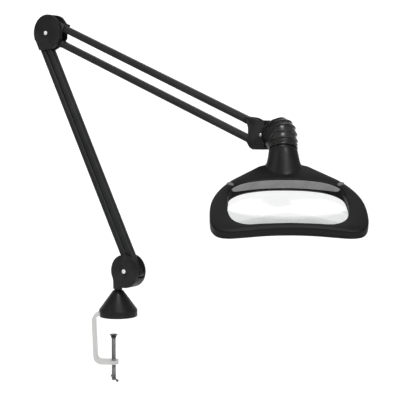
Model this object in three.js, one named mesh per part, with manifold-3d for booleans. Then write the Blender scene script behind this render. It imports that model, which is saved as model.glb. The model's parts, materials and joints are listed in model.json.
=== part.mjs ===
// Magnifying lamp on a spring-balanced parallelogram arm with a table clamp.
// Millimetres, +Z up. The origin is the centre of the face that rests on the table, on the swivel
// axis. The clamp opens towards +X and the magnifier looks towards -Y. The arm swings in a vertical
// plane that is turned about Z, in its own group: x along the arm, y across it, z up.
import * as THREE from 'three';
import { mergeVertices } from 'three/addons/utils/BufferGeometryUtils.js';
import Module from 'manifold-3d';

const wasm = await Module();
wasm.setup();

// ---- driving dimensions -------------------------------------------------------------------
const gap = 0.3; // between pieces that touch
const runningGap = 0.12; // radial, round a pin or shaft

const bar = { width: 20, thick: 5, reach: 38, opening: 65, bend: 12, noseRadius: 7, lean: 2 };
const jawPad = { thick: 1.2, length: 30 };
const screw = { x: -7, radius: 3.05, length: 66, padTop: -26.9, crossHole: 3.5 };
const nut = { radius: 4.8, below: 1.5 };
const footPad = { radius: 6, neckRadius: 4, height: 4.6, lip: 1, socketDepth: 3 };
const tommy = { radius: 1.25, length: 37, ballRadius: 2, turn: -71.7, offset: 5 };
const cone = { topRadius: 7.3, rimRadius: 28, height: 38.3, band: 10, wall: 2 };
const post = { radius: 4, collarRadius: 5.8, foot: 10, stub: 8 };
const socket = { radius: 8, bore: 6.3, height: 22.3 };

const armTurn = -34; // degrees about Z
const arm = { lower: 381, upper: 381, lowerAngle: 116.85, upperAngle: -22.9 };
const tube = { side: 9.5, wall: 1, corner: 1.3, setback: 14, plug: 12 };
// A pair's angle runs from the main tube's pivot to the link's.
const lowerPair = { apart: 1.5, angle: -19.7 };
const upperPair = { spread: 28.2, angle: -75 };
const pin = { radius: 2 };
const plate = { thick: 1.5, gap: 0.4 };
const cover = { face: 2.9, wall: 2 };
const spring = { radius: 2.7, wire: 0.6, turns: 12, length: 110 };

const base = { x: 19, z: 68, radius: 24.2, pairX: 31, pairZ: 67.6, bottom: 41, boss: 6.6 };
// The elbow's centre is placed from the lower main pivot, and the wrist's sides from the upper one.
const elbow = { right: 22.8, above: 6.3, radius: 26.4, skirt: 26.1, upperRight: 7.3, upperAbove: 12.9 };
const wrist = { left: 5.5, right: 19.5, low: 34.7, high: 3.8, faceHalf: 7.6 };
const capScrew = { radius: 3.2, head: 1.4, shank: 1.2 };

const neck = { leg: 24, below: 15.2, pitch: 68, spigot: 5, disc: 10.5, bootRadius: 19, bootWall: 3, bootEnd: 20 };
const yoke = { radius: 12.5, disc: 5, earGap: 2.9, ear: 3.2, earReach: 6.5 };
const stem = { radius: 4, length: 40, tongue: 5, bushRadius: 6.5 };
const head = { pitch: 23.2, rear: 25, front: 11.7, offset: 42.6, neckTop: 18, neckBase: 22.6 };
const lens = { lip: 4, thick: 4.3, crown: 3.5, seat: 8.5, domeX: 78, domeY: 53, middle: 82 };
const floorPlate = { thick: 2.5 };
const light = { x: 84.2, v: 106, width: 7, length: 48, board: 1.6, ceiling: 10.5 };
const button = { x: 69.5, v: 45.5, radius: 3.4, stretch: 1.5, turn: 42, height: 6, proud: 1.6 };
const driverBay = { half: 46, rear: 4, front: 24, ceiling: 16 };

// ---- materials ----------------------------------------------------------------------------
const finish = (color, roughness, metalness = 0) =>
  new THREE.MeshStandardMaterial({ color, roughness, metalness });
const blackPaint = finish('#202022', 0.42);
const blackPlastic = finish('#262627', 0.55);
const rubber = finish('#242423', 0.6);
const whitePaint = finish('#e4e4e2', 0.4);
const steel = finish('#9a9b9e', 0.3, 1);
const brightCap = finish('#f2f2f2', 0.3);
const greyPlastic = finish('#8f8f8e', 0.5);
const nylon = finish('#dcdad2', 0.5);
const glass = finish('#f4f7f7', 0.05);
const board = finish('#e9e7dc', 0.5);
const diffuser = finish('#f5f5f2', 0.6);

// ---- geometry helpers ---------------------------------------------------------------------
const rad = THREE.MathUtils.degToRad;
const lamp = new THREE.Group();
const armGroup = new THREE.Group();
armGroup.rotation.z = rad(armTurn);
lamp.add(armGroup);

function piece(parent, name, geometry, material) {
  const mesh = new THREE.Mesh(geometry, material);
  mesh.name = name;
  parent.add(mesh);
}

function solid(geometry) {
  const bare = geometry.clone();
  bare.deleteAttribute('normal');
  bare.deleteAttribute('uv');
  const merged = mergeVertices(bare, 1e-4);
  const vertProperties = new Float32Array(merged.attributes.position.array);
  const triVerts = new Uint32Array(merged.index.array);
  return new wasm.Manifold(new wasm.Mesh({ numProp: 3, vertProperties, triVerts }));
}

function geometryOf(manifold) {
  const mesh = manifold.getMesh();
  const geometry = new THREE.BufferGeometry();
  geometry.setAttribute('position', new THREE.BufferAttribute(mesh.vertProperties, 3));
  geometry.setIndex(new THREE.BufferAttribute(mesh.triVerts, 1));
  return geometry;
}

const join = (first, ...others) =>
  geometryOf(others.reduce((sum, other) => sum.add(solid(other)), solid(first)));
const cut = (body, ...tools) =>
  geometryOf(tools.reduce((rest, tool) => rest.subtract(solid(tool)), solid(body)));
const common = (first, second) => geometryOf(solid(first).intersect(solid(second)));

function outline(points) {
  return new THREE.Shape(points.map(([x, y]) => new THREE.Vector2(x, y)));
}

// Points on a circular arc, anticlockwise from one angle to another, in degrees.
function arc(x, y, radius, from, to, steps) {
  return Array.from({ length: steps + 1 }, (_, i) => {
    const angle = rad(from + ((to - from) * i) / steps);
    return [x + radius * Math.cos(angle), y + radius * Math.sin(angle)];
  });
}

// A block between two corners.
function block(x0, x1, y0, y1, z0, z1) {
  const box = new THREE.BoxGeometry(x1 - x0, y1 - y0, z1 - z0);
  return box.translate((x0 + x1) / 2, (y0 + y1) / 2, (z0 + z1) / 2);
}

// A flat shape drawn in x and y, standing between two heights.
function standing(shape, zFrom, zTo) {
  const geometry = new THREE.ExtrudeGeometry(shape, { depth: zTo - zFrom, bevelEnabled: false });
  return geometry.translate(0, 0, zFrom);
}

// A flat shape drawn in x and z, running across y.
function across(shape, yFrom, yTo) {
  const geometry = new THREE.ExtrudeGeometry(shape, { depth: yTo - yFrom, bevelEnabled: false });
  return geometry.rotateX(Math.PI / 2).translate(0, yTo, 0);
}

// A round bar along z, y or x.
function barZ(radius, zFrom, zTo, x = 0, y = 0, sides = 20) {
  const rod = new THREE.CylinderGeometry(radius, radius, zTo - zFrom, sides);
  return rod.rotateX(Math.PI / 2).translate(x, y, (zFrom + zTo) / 2);
}

function barY(radius, yFrom, yTo, x, z, sides = 16) {
  const rod = new THREE.CylinderGeometry(radius, radius, yTo - yFrom, sides);
  return rod.translate(x, (yFrom + yTo) / 2, z);
}

function barX(radius, xFrom, xTo, z, sides = 20) {
  const rod = new THREE.CylinderGeometry(radius, radius, xTo - xFrom, sides);
  return rod.rotateZ(Math.PI / 2).translate((xFrom + xTo) / 2, 0, z);
}

// A profile of [radius, height] points turned about z.
function turned(profile, sides = 28) {
  const points = profile.map(([r, z]) => new THREE.Vector2(r, z));
  return new THREE.LatheGeometry(points, sides).rotateX(Math.PI / 2);
}

// A turned ring: the profile closes on itself, clear of the axis.
const turnedRing = (profile, sides) => turned([...profile, profile[0]], sides);

// A smooth closed loop that is the same on both sides of x = 0, from its right half.
function mirroredLoop(half, count) {
  const left = half.slice(1, -1).reverse().map(([x, y]) => [-x, y]);
  const points = [...half, ...left].map(([x, y]) => new THREE.Vector3(x, y, 0));
  const curve = new THREE.CatmullRomCurve3(points, true, 'centripetal');
  return curve.getSpacedPoints(count).slice(0, -1).map((p) => [p.x, p.y]);
}

// ---- clamp --------------------------------------------------------------------------------
const jawTop = jawPad.thick + gap;
const barTop = jawTop + bar.thick;
const lowerFace = -bar.opening;
const lowerBottom = lowerFace - bar.thick;
const screwTip = screw.padTop - footPad.height + footPad.socketDepth;
const screwEnd = screwTip - screw.length;
const crossZ = screwEnd + screw.crossHole;

function clampFrame() {
  const inner = bar.bend - bar.thick;
  const top = -bar.reach;
  const low = -bar.reach + bar.lean;
  const tip = screw.x + bar.noseRadius;
  const end = cone.topRadius + bar.thick;
  const profile = outline([
    [end, jawTop],
    [end, barTop],
    ...arc(top + bar.bend, barTop - bar.bend, bar.bend, 90, 180, 6),
    ...arc(low + bar.bend, lowerBottom + bar.bend, bar.bend, 180, 270, 6),
    [tip, lowerBottom],
    [tip, lowerFace],
    ...arc(low + bar.bend, lowerFace + inner, inner, 270, 180, 6),
    ...arc(top + bar.bend, jawTop - inner, inner, 180, 90, 6),
  ]);
  const half = bar.width / 2;
  const strip = across(profile, -half, half);
  const nose = outline([
    [-bar.reach - 1, -half - 1],
    ...arc(tip - bar.noseRadius, -half + bar.noseRadius, bar.noseRadius, -90, 0, 5),
    ...arc(tip - bar.noseRadius, half - bar.noseRadius, bar.noseRadius, 0, 90, 5),
    [-bar.reach - 1, half + 1],
  ]);
  const middle = (jawTop + lowerFace) / 2;
  const keep = join(
    block(-bar.reach - 1, end + 1, -half - 1, half + 1, middle, barTop + 1),
    standing(nose, lowerBottom - 1, middle),
  );
  const hole = barZ(nut.radius + gap, lowerBottom - 1, lowerFace + 1, screw.x);
  return cut(common(strip, keep), hole);
}

function clampNut() {
  const inside = screw.radius + runningGap;
  return turnedRing([
    [inside, lowerBottom - nut.below], [nut.radius, lowerBottom - nut.below],
    [nut.radius, lowerFace], [inside, lowerFace],
  ], 24).translate(screw.x, 0, 0);
}

function baseCone() {
  const slant = cone.wall * 1.2;
  const shell = turnedRing([
    [cone.rimRadius, 0], [cone.rimRadius, cone.band], [cone.topRadius, cone.height],
    [post.radius + gap * 2, cone.height], [post.radius + gap * 2, cone.height - cone.wall],
    [cone.topRadius - cone.wall, cone.height - cone.wall - 1],
    [cone.rimRadius - slant, cone.band - cone.wall / 2], [cone.rimRadius - slant, 0],
  ], 40);
  const half = bar.width / 2 + gap;
  return cut(shell, block(-cone.rimRadius - 2, -cone.rimRadius / 2, -half, half, -1, barTop + gap));
}

const socketFoot = barTop + gap;
const socketTop = socketFoot + socket.height;

function makeClamp() {
  const half = bar.width / 2;
  const padEnd = cone.topRadius + bar.thick;
  piece(lamp, 'clamp_frame', clampFrame(), whitePaint);
  piece(lamp, 'jaw_pad', block(padEnd - jawPad.length, padEnd, -half, half, 0, jawPad.thick), rubber);
  piece(lamp, 'clamp_nut', clampNut(), steel);
  piece(lamp, 'clamp_socket', turnedRing([
    [socket.bore, socketFoot], [socket.radius, socketFoot],
    [socket.radius, socketTop], [socket.bore, socketTop],
  ], 24), steel);
  const bore = post.radius + runningGap;
  piece(lamp, 'swivel_bush', turnedRing([
    [bore, socketFoot + 1], [socket.bore - gap, socketFoot + 1], [socket.bore - gap, socketTop + gap],
    [socket.radius, socketTop + gap], [socket.radius, socketTop + 1.5], [bore, socketTop + 1.5],
  ], 24), nylon);
  piece(lamp, 'base_cone', baseCone(), blackPlastic);
}

function makeClampScrew() {
  const top = screw.padTop;
  const foot = top - footPad.height;
  const bore = screw.radius + runningGap;
  piece(lamp, 'clamp_pad', turned([
    [0, screwTip + gap], [bore, screwTip + gap], [bore, foot], [footPad.neckRadius, foot],
    [footPad.neckRadius, foot + 1], [footPad.radius, top - footPad.lip],
    [footPad.radius, top], [0, top],
  ], 24).translate(screw.x, 0, 0), blackPaint);
  const turn = rad(tommy.turn);
  const hole = barX(tommy.radius + runningGap, -6, 6, crossZ, 12).rotateZ(turn).translate(screw.x, 0, 0);
  const shaft = barZ(screw.radius, screwEnd, screwTip, screw.x, 0, 20);
  piece(lamp, 'clamp_screw', cut(shaft, hole), steel);
  const half = tommy.length / 2 - tommy.ballRadius;
  const ball = (x) => new THREE.SphereGeometry(tommy.ballRadius, 12, 8).translate(x, 0, crossZ);
  const handle = join(barX(tommy.radius, -half, half, crossZ, 12), ball(-half), ball(half));
  handle.translate(tommy.offset, 0, 0).rotateZ(turn).translate(screw.x, 0, 0);
  piece(lamp, 'tommy_bar', handle, steel);
}

// ---- arm: pivots --------------------------------------------------------------------------
const along = (angle, length) => ({ x: Math.cos(rad(angle)) * length, z: Math.sin(rad(angle)) * length });
const plus = (a, b, times = 1) => ({ x: a.x + b.x * times, z: a.z + b.z * times });

const lowerRun = along(arm.lowerAngle, arm.lower);
const upperRun = along(arm.upperAngle, arm.upper);
const lowerSpread = (tube.side + lowerPair.apart) / Math.sin(rad(arm.lowerAngle - lowerPair.angle));
const lowerOffset = along(lowerPair.angle, lowerSpread);
const upperOffset = along(upperPair.angle, upperPair.spread);
const basePair = { x: base.pairX, z: base.pairZ };
const baseMain = plus(basePair, lowerOffset, -0.5);
const baseLink = plus(basePair, lowerOffset, 0.5);
const elbowLowerMain = plus(baseMain, lowerRun);
const elbowLowerLink = plus(baseLink, lowerRun);
const elbowAt = { x: elbowLowerMain.x + elbow.right, z: elbowLowerMain.z + elbow.above };
const elbowUpperMain = { x: elbowAt.x + elbow.upperRight, z: elbowAt.z + elbow.upperAbove };
const elbowUpperLink = plus(elbowUpperMain, upperOffset);
const wristMain = plus(elbowUpperMain, upperRun);
const wristLink = plus(elbowUpperLink, upperRun);
const wristLeft = wristMain.x - wrist.left;
const wristRight = wristMain.x + wrist.right;
const wristLow = wristMain.z - wrist.low;
const wristHigh = wristMain.z + wrist.high;
const neckZ = wristMain.z - neck.below;

const plateIn = tube.side / 2 + plate.gap;
const plateOut = plateIn + plate.thick;
const coverIn = plateOut + gap;
const coverOut = coverIn + cover.face;

// ---- arm: tubes ---------------------------------------------------------------------------
function roundedSquare(side, corner) {
  const c = side / 2 - corner;
  return [
    ...arc(c, c, corner, 0, 90, 2), ...arc(-c, c, corner, 90, 180, 2),
    ...arc(-c, -c, corner, 180, 270, 2), ...arc(c, -c, corner, 270, 360, 2),
  ];
}

// Each tube is drawn along x from its first pivot, then turned to the arm's angle.
function placeAlong(geometry, pivot, angle) {
  return geometry.rotateY(-rad(angle)).translate(pivot.x, 0, pivot.z);
}

function armTube(length) {
  const section = outline(roundedSquare(tube.side, tube.corner));
  const inside = roundedSquare(tube.side - 2 * tube.wall, Math.max(tube.corner - tube.wall, 0.3));
  section.holes.push(new THREE.Path(inside.map(([x, y]) => new THREE.Vector2(x, y))));
  return standing(section, tube.setback, length - tube.setback).rotateY(Math.PI / 2);
}

// The end fitting: an eye round the pin, a shoulder as wide as the tube, and a plug inside it.
function tubeEnd() {
  const half = tube.side / 2;
  const plug = half - tube.wall - gap;
  const shoulder = tube.setback - gap;
  const eye = barY(half, -half, half, 0, 0, 20);
  const body = block(0, shoulder, -half, half, -half, half);
  const inner = block(shoulder - 1, tube.setback + tube.plug, -plug, plug, -plug, plug);
  return cut(join(eye, body, inner), barY(pin.radius + runningGap, -half - 1, half + 1, 0, 0));
}

function armSpring(length) {
  const start = (length - spring.length) / 2;
  const steps = spring.turns * 8;
  const points = Array.from({ length: steps + 1 }, (_, i) => {
    const turn = (i / steps) * spring.turns * Math.PI * 2;
    const x = start + (spring.length * i) / steps;
    return new THREE.Vector3(x, spring.radius * Math.cos(turn), spring.radius * Math.sin(turn));
  });
  const wire = outline(arc(0, 0, spring.wire, 0, 300, 5));
  const path = new THREE.CatmullRomCurve3(points);
  return new THREE.ExtrudeGeometry(wire, { steps, bevelEnabled: false, extrudePath: path });
}

function makeTube(name, pivot, angle, length, sprung) {
  piece(armGroup, `${name}_tube`, placeAlong(armTube(length), pivot, angle), blackPaint);
  piece(armGroup, `${name}_end_a`, placeAlong(tubeEnd(), pivot, angle), blackPaint);
  const far = tubeEnd().rotateZ(Math.PI).translate(length, 0, 0);
  piece(armGroup, `${name}_end_b`, placeAlong(far, pivot, angle), blackPaint);
  if (!sprung) return;
  piece(armGroup, `${name}_spring`, placeAlong(armSpring(length), pivot, angle), steel);
}

// ---- arm: knuckles ------------------------------------------------------------------------
const hole = (pivot) => barY(pin.radius + runningGap, -coverOut, coverOut, pivot.x, pivot.z);

// Two equal side plates, held apart by one web and drilled for the pivot pins.
function twinPlates(shape, web, pivots) {
  const front = across(shape, -plateOut, -plateIn);
  const rear = across(shape, plateIn, plateOut);
  return cut(join(front, rear, web), ...pivots.map(hole));
}

function pivotPin(name, pivot) {
  piece(armGroup, name, barY(pin.radius, -plateOut, plateOut, pivot.x, pivot.z), steel);
}

// A cover: a face outside the side plate, and a rim that reaches in to the middle.
// side is -1 for the front and 1 for the rear.
function coverHalf(side, faceShape, rimShapes, screwAt) {
  const span = (a, b) => (side < 0 ? [-b, -a] : [a, b]);
  const face = across(faceShape, ...span(coverIn, coverOut));
  const rims = rimShapes.map((shape) => across(shape, ...span(gap / 2, coverIn + 1)));
  const clear = capScrew.shank + runningGap;
  return cut(join(face, ...rims), barY(clear, ...span(coverIn - 1, coverOut + 1), screwAt.x, screwAt.z));
}

// A rim is the band between two radii over part of a circle.
function rimBand(centre, radius, from, to) {
  return outline([
    ...arc(centre.x, centre.z, radius, from, to, 14),
    ...arc(centre.x, centre.z, radius - cover.wall, to, from, 14),
  ]);
}

// A raised round-headed screw that holds a cover to the plate beneath it.
function coverScrew(name, at, side, material) {
  const { radius } = capScrew;
  const face = coverOut;
  const seat = -face - gap;
  const profile = [
    [0, seat - capScrew.head], [radius * 0.6, seat - capScrew.head],
    [radius, seat - 0.6 * capScrew.head], [radius, seat], [0, seat],
  ];
  const cap = turned(profile, 20);
  const shank = barZ(capScrew.shank, seat - 0.5, -plateOut - 0.1, 0, 0, 12);
  const upright = join(cap, shank).rotateX(-Math.PI / 2);
  if (side > 0) upright.rotateZ(Math.PI);
  piece(armGroup, name, upright.translate(at.x, 0, at.z), material);
}

// The lower rim of a base cover runs up to just short of the link tube's eye.
function rimEnd() {
  const inside = base.radius - cover.wall;
  const [x, z] = [baseLink.x - base.x, baseLink.z - base.z];
  const reach = Math.hypot(x, z);
  const clear = tube.side / 2 + 2 * gap;
  const turn = Math.acos((inside ** 2 + reach ** 2 - clear ** 2) / (2 * inside * reach));
  return 360 + THREE.MathUtils.radToDeg(Math.atan2(z, x) - turn);
}

function makeBaseKnuckle() {
  const centre = { x: base.x, z: base.z };
  const inner = base.radius - cover.wall - gap;
  const disc = across(outline(arc(base.x, base.z, inner, 0, 345, 23)), -plateOut, plateOut);
  const ear = barY(tube.side / 2 - 0.4, -plateOut, plateOut, baseLink.x, baseLink.z, 20);
  const slotFloor = base.z - base.radius + 10;
  const boss = barZ(base.boss, base.bottom, slotFloor);
  const cheeks = join(disc, ear, boss);
  const reach = base.radius + tube.side;
  const slot = block(-reach, base.x + reach, -plateIn, plateIn, slotFloor, base.z + reach);
  const slotLow = block(base.x - 6, base.x + reach, -plateIn, plateIn, base.bottom, slotFloor + 1);
  const stubHole = barZ(post.radius + gap / 2, 0, base.bottom + post.stub + gap);
  const drilled = cut(cheeks, slot, slotLow, stubHole, hole(baseMain), hole(baseLink));
  piece(armGroup, 'base_bracket', drilled, blackPaint);

  const footLeft = -base.boss / 5;
  const face = outline([
    ...arc(base.x, base.z, base.radius, -105, 200, 26),
    [footLeft - 0.6, base.bottom + 15], [footLeft, base.bottom + 9],
    [footLeft, base.bottom + gap], [base.boss + 1, base.bottom + gap],
  ]);
  const rims = [[128, 196], [246, rimEnd()]].map(([from, to]) => rimBand(centre, base.radius, from, to));
  const screwAt = { x: base.x, z: base.z };
  piece(armGroup, 'base_cover_front', coverHalf(-1, face, rims, screwAt), blackPlastic);
  piece(armGroup, 'base_cover_rear', coverHalf(1, face, rims, screwAt), blackPlastic);
  coverScrew('base_cap_front', screwAt, -1, brightCap);
  coverScrew('base_cap_rear', screwAt, 1, blackPlastic);
  pivotPin('base_pin_main', baseMain);
  pivotPin('base_pin_link', baseLink);
}

function swivelPost() {
  const top = base.bottom + post.stub;
  const shoulder = cone.height + gap;
  return turned([
    [0, post.foot], [post.radius, post.foot], [post.radius, shoulder],
    [post.collarRadius, shoulder], [post.collarRadius, base.bottom], [post.radius, base.bottom],
    [post.radius, top], [0, top],
  ], 24);
}

function makeElbow() {
  const edge = tube.side / 2 + 1;
  const cheek = outline([
    [elbowLowerMain.x - edge, elbowLowerMain.z + 1], [elbowLowerMain.x - 1, elbowLowerMain.z + edge],
    [elbowAt.x - 11, elbowAt.z + 20], [elbowAt.x + 3, elbowAt.z + 22],
    [elbowUpperMain.x + 25, elbowUpperMain.z - 3], [elbowUpperMain.x + 19, elbowUpperMain.z - 14],
    [elbowUpperMain.x + 19, elbowUpperLink.z + 5], [elbowUpperLink.x + 2.5, elbowUpperLink.z - 7],
    [elbowLowerLink.x + 3, elbowLowerLink.z - edge], [elbowLowerLink.x - 4, elbowLowerLink.z - edge],
    [elbowLowerMain.x - edge + 1, elbowLowerMain.z - 4],
  ]);
  const web = block(elbowAt.x - 13, elbowAt.x - 1, -plateIn - 1, plateIn + 1, elbowAt.z + 11, elbowAt.z + 19);
  const pivots = [elbowLowerMain, elbowLowerLink, elbowUpperMain, elbowUpperLink];
  piece(armGroup, 'elbow_bracket', twinPlates(cheek, web, pivots), blackPaint);

  const skirtLow = elbowAt.z - elbow.skirt;
  const skirtLeft = elbowAt.x - 15.5;
  const skirtRight = elbowAt.x + 11.5;
  const front = outline([
    ...arc(elbowAt.x, elbowAt.z, elbow.radius, -55, 195, 26),
    [skirtLeft, skirtLow], [skirtRight, skirtLow + 1.5],
  ]);
  const lipX = elbowAt.x + 25;
  const rear = outline([
    ...arc(elbowAt.x, elbowAt.z, elbow.radius, 52, 195, 18),
    [skirtLeft, skirtLow], [elbowAt.x - 1, skirtLow],
    [elbowUpperLink.x - 5, elbowUpperLink.z - 7], [elbowUpperLink.x + 4, elbowUpperLink.z - 1],
    [elbowUpperLink.x + 4.5, elbowAt.z + 4], [lipX, elbowAt.z + 8], [lipX, elbowAt.z + 10.5],
  ]);
  const rims = [rimBand(elbowAt, elbow.radius, 78, 168)];
  const screwAt = { x: elbowAt.x - 1.5, z: elbowAt.z - 1 };
  piece(armGroup, 'elbow_cover_front', coverHalf(-1, front, rims, screwAt), blackPlastic);
  piece(armGroup, 'elbow_cover_rear', coverHalf(1, rear, rims, screwAt), blackPlastic);
  coverScrew('elbow_cap_front', screwAt, -1, brightCap);
  coverScrew('elbow_cap_rear', screwAt, 1, blackPlastic);
  pivotPin('elbow_pin_lower_main', elbowLowerMain);
  pivotPin('elbow_pin_lower_link', elbowLowerLink);
  pivotPin('elbow_pin_upper_main', elbowUpperMain);
  pivotPin('elbow_pin_upper_link', elbowUpperLink);
}

const wristScrewAt = { x: wristRight - 5, z: neckZ };

// The wrist is one moulded block: two cheeks beside the tube ends and a solid nose at the boot.
function wristBody() {
  const edge = tube.side / 2 + 1;
  const shape = outline([
    [wristMain.x - edge - 4.5, wristMain.z + edge + 3.2], [wristMain.x + 2, wristMain.z + edge + 1.5],
    [wristMain.x + 10, wristHigh], [wristRight, wristHigh], [wristRight, wristLow],
    [wristLink.x - edge, wristLow], [wristLink.x - edge - 5, wristLow + 3],
    [wristLink.x - edge - 9, wristLow + 9.5], [wristLeft, wristLink.z + edge],
    [wristLeft, wristMain.z - edge],
  ]);
  const noseStart = wristLink.x + tube.side / 2 + 1.2;
  const whole = across(shape, -wrist.faceHalf, wrist.faceHalf);
  const slot = block(wristLeft - 20, noseStart, -plateIn, plateIn, wristLow - 5, wristHigh + 20);
  const bore = barX(neck.spigot + gap / 2, noseStart - 1, wristRight + 1, neckZ);
  const screwHole = barY(1 + runningGap, -wrist.faceHalf - 1, 0, wristScrewAt.x, wristScrewAt.z, 12);
  return cut(whole, slot, bore, screwHole, hole(wristMain), hole(wristLink));
}

function makeWrist() {
  piece(armGroup, 'wrist_body', wristBody(), blackPlastic);
  const pinHalf = wrist.faceHalf - 0.4;
  for (const [name, at] of [['wrist_pin_main', wristMain], ['wrist_pin_link', wristLink]]) {
    piece(armGroup, name, barY(pin.radius, -pinHalf, pinHalf, at.x, at.z), blackPaint);
  }
  const lowEnd = -neck.spigot - gap;
  const screwBody = join(
    barY(1, -wrist.faceHalf - gap, lowEnd, wristScrewAt.x, wristScrewAt.z, 12),
    barY(2.1, -wrist.faceHalf - 1.4, -wrist.faceHalf - gap, wristScrewAt.x, wristScrewAt.z, 16),
  );
  piece(armGroup, 'wrist_screw', screwBody, steel);
  const start = wristLink.x + tube.side / 2 + 1.5;
  const holdEnd = wristRight + 4 + yoke.disc;
  piece(armGroup, 'neck_spigot', join(
    barX(neck.spigot, start, holdEnd + 2, neckZ),
    barX(neck.disc, wristRight + gap, wristRight + 3.4, neckZ, 28),
    barX(neck.spigot + 2, holdEnd + gap, holdEnd + 2, neckZ),
  ), steel);
}

// ---- neck ---------------------------------------------------------------------------------
// At the bend three directions meet: armWay out of the wrist, headWay down to the magnifier, and
// hingeWay across both.
const armWay = new THREE.Vector3(Math.cos(rad(armTurn)), Math.sin(rad(armTurn)), 0);
const headWay = new THREE.Vector3(0, -Math.cos(rad(neck.pitch)), -Math.sin(rad(neck.pitch)));
const hingeWay = new THREE.Vector3().crossVectors(armWay, headWay).normalize();
const bend = armWay.clone().multiplyScalar(wristRight + neck.leg).setZ(neckZ);

// Moves a shape drawn about the bend, with x along the given way and y along the hinge.
function atBend(geometry, way) {
  const third = new THREE.Vector3().crossVectors(way, hingeWay);
  const frame = new THREE.Matrix4().makeBasis(way, hingeWay, third).setPosition(bend);
  return geometry.applyMatrix4(frame);
}

function neckBoot() {
  const from = bend.clone().addScaledVector(armWay, -neck.leg + gap);
  const to = bend.clone().addScaledVector(headWay, neck.bootEnd - gap);
  const path = new THREE.CurvePath();
  const easeIn = bend.clone().addScaledVector(armWay, -0.7 * neck.leg);
  const easeOut = bend.clone().addScaledVector(headWay, 0.85 * neck.bootEnd);
  path.add(new THREE.LineCurve3(from, easeIn));
  path.add(new THREE.QuadraticBezierCurve3(easeIn, bend, easeOut));
  path.add(new THREE.LineCurve3(easeOut, to));
  const smooth = new THREE.CatmullRomCurve3(path.getSpacedPoints(10));
  const ring = outline(arc(0, 0, neck.bootRadius, 0, 345, 23));
  const hollow = arc(0, 0, neck.bootRadius - neck.bootWall, 345, 0, 23);
  ring.holes.push(new THREE.Path(hollow.map(([x, y]) => new THREE.Vector2(x, y))));
  return new THREE.ExtrudeGeometry(ring, { steps: 9, bevelEnabled: false, extrudePath: smooth });
}

// The fork turns on the wrist's spigot; its two ears hold the hinge pin.
function neckYoke() {
  const discFrom = -neck.leg + 4;
  const discTo = discFrom + yoke.disc - gap;
  const ears = [-1, 1].map((side) => {
    const near = side * yoke.earGap;
    const far = side * (yoke.earGap + yoke.ear);
    const [y0, y1] = [Math.min(near, far), Math.max(near, far)];
    const cheek = block(discTo - 1, 0, y0, y1, -yoke.earReach, yoke.earReach);
    return join(cheek, barY(yoke.earReach, y0, y1, 0, 0, 20));
  });
  const disc = barX(yoke.radius, discFrom, discTo, 0, 28);
  const bore = barX(neck.spigot + runningGap, discFrom - 1, discTo + 1, 0);
  const flange = barX(neck.spigot + 2.6, discTo - gap / 2, discTo + 3.2, 0);
  const body = cut(join(disc, ...ears), bore, flange, barY(pin.radius + runningGap, -12, 12, 0, 0));
  return atBend(body, armWay);
}

function neckStem() {
  const half = stem.tongue / 2;
  const eye = barY(yoke.earReach - 0.5, -half, half, 0, 0, 20);
  const tongue = block(0, 10, -half, half, -stem.radius, stem.radius);
  const shaft = barX(stem.radius, 9, stem.length, 0);
  const body = cut(join(eye, tongue, shaft), barY(pin.radius + runningGap, -12, 12, 0, 0));
  return atBend(body, headWay);
}

function makeNeck() {
  piece(lamp, 'neck_boot', neckBoot(), rubber);
  piece(lamp, 'neck_yoke', neckYoke(), steel);
  const pinHalf = yoke.earGap + yoke.ear;
  piece(lamp, 'neck_pin', atBend(barY(pin.radius, -pinHalf, pinHalf, 0, 0), armWay), steel);
  piece(lamp, 'neck_stem', neckStem(), steel);
}

// ---- magnifier head -----------------------------------------------------------------------
// Drawn with x across, y from the neck to the front edge and z up from the underside, then turned
// so that it faces -Y and hangs from the neck.
const headGroup = new THREE.Group();
headGroup.rotation.set(rad(head.pitch), 0, Math.PI);
const neckFoot = bend.clone().addScaledVector(headWay, head.offset);
const topCentre = new THREE.Vector3(0, 0, head.rear).applyEuler(headGroup.rotation);
headGroup.position.copy(neckFoot).sub(topCentre);
lamp.add(headGroup);

// The neck's line in the head's own frame.
const neckTilt = neck.pitch - head.pitch;
const neckLine = new THREE.Vector3(0, Math.cos(rad(neckTilt)), -Math.sin(rad(neckTilt)));
const neckPoint = (distance) =>
  new THREE.Vector3(0, 0, head.rear).addScaledVector(neckLine, distance - head.offset);

const rimHalf = [
  [0, -23.5], [16, -17], [24, -4], [31.5, 0], [39, 7], [55, 22], [70.5, 37.5], [85, 60], [93.5, 85],
  [95.5, 117], [93, 135], [86, 146.5], [74, 150], [56, 148], [28, 143.5], [0, 142],
];
const windowHalf = [
  [0, 33], [30, 35], [56, 43.5], [70, 58], [73.5, 80], [73.5, 105], [67, 125], [54, 133.5],
  [30, 132.5], [0, 131],
];
const windowWide = Math.max(...windowHalf.map(([x]) => x));
const windowDeep = (windowHalf.at(-1)[1] - windowHalf[0][1]) / 2;
const grown = (points, by) => points.map(([x, v]) => [
  x * (1 + by / windowWide), lens.middle + (v - lens.middle) * (1 + by / windowDeep),
]);
const lensHalf = grown(windowHalf, lens.lip);
const frontEdge = 144;

// A round bar from one point to another along the neck's line.
function alongNeck(radius, from, to, sides = 24) {
  const rod = new THREE.CylinderGeometry(radius, radius, to - from, sides);
  rod.translate(0, (from + to) / 2, 0).rotateX(-rad(neckTilt));
  const start = neckPoint(0);
  return rod.translate(start.x, start.y, start.z);
}

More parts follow.
